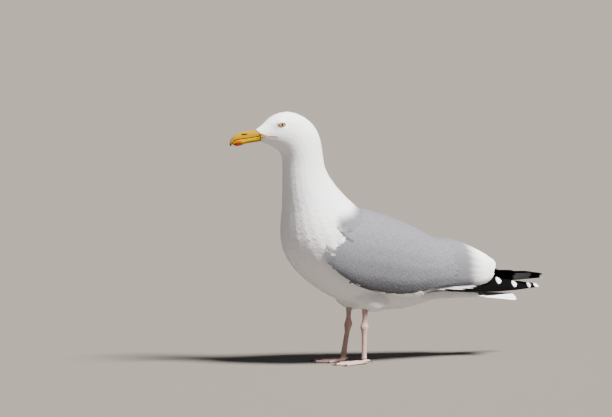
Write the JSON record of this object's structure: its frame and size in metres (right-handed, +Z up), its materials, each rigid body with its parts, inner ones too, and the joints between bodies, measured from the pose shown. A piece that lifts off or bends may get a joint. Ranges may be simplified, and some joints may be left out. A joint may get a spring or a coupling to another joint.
{
  "type": "herring gull",
  "caption": "Life-size standing gull with folded wings, hooked bill, bare legs and webbed feet, held still as a display model.",
  "frame": {"origin": "bottom centre of the bird's bounding box, on the floor", "axes": "+Z up, -X the way the bird faces, -Y its left side"},
  "size_m": [0.5738, 0.1518, 0.4204],
  "materials": {
    "white_feathers": "soft, matt",
    "grey_feathers": "smooth, matt",
    "black_feathers": "smooth, slight sheen",
    "bill": "horny, satin",
    "eye": "wet gloss",
    "leg_skin": "scaly, satin",
    "claw": "horny, satin"
  },
  "bodies": {
    "root": {"head": "white_feathers", "neck": "white_feathers", "trunk": "white_feathers", "tail": "white_feathers", "thigh_left": "white_feathers", "thigh_right": "white_feathers", "coverts_left": "grey_feathers", "coverts_right": "grey_feathers", "tertials_left": "grey_feathers", "tertials_right": "grey_feathers", "secondaries_left": "grey_feathers", "secondaries_right": "grey_feathers", "primaries_left": "black_feathers", "primaries_right": "black_feathers", "bill_upper": "bill", "bill_lower": "bill", "eye_left": "eye", "eye_right": "eye", "shank_left": "leg_skin", "shank_right": "leg_skin", "tarsus_left": "leg_skin", "tarsus_right": "leg_skin", "foot_left": "leg_skin", "foot_right": "leg_skin", "claw_left_inner": "claw", "claw_left_middle": "claw", "claw_left_outer": "claw", "claw_left_hind": "claw", "claw_right_inner": "claw", "claw_right_middle": "claw", "claw_right_outer": "claw", "claw_right_hind": "claw"}
  },
  "joints": []
}
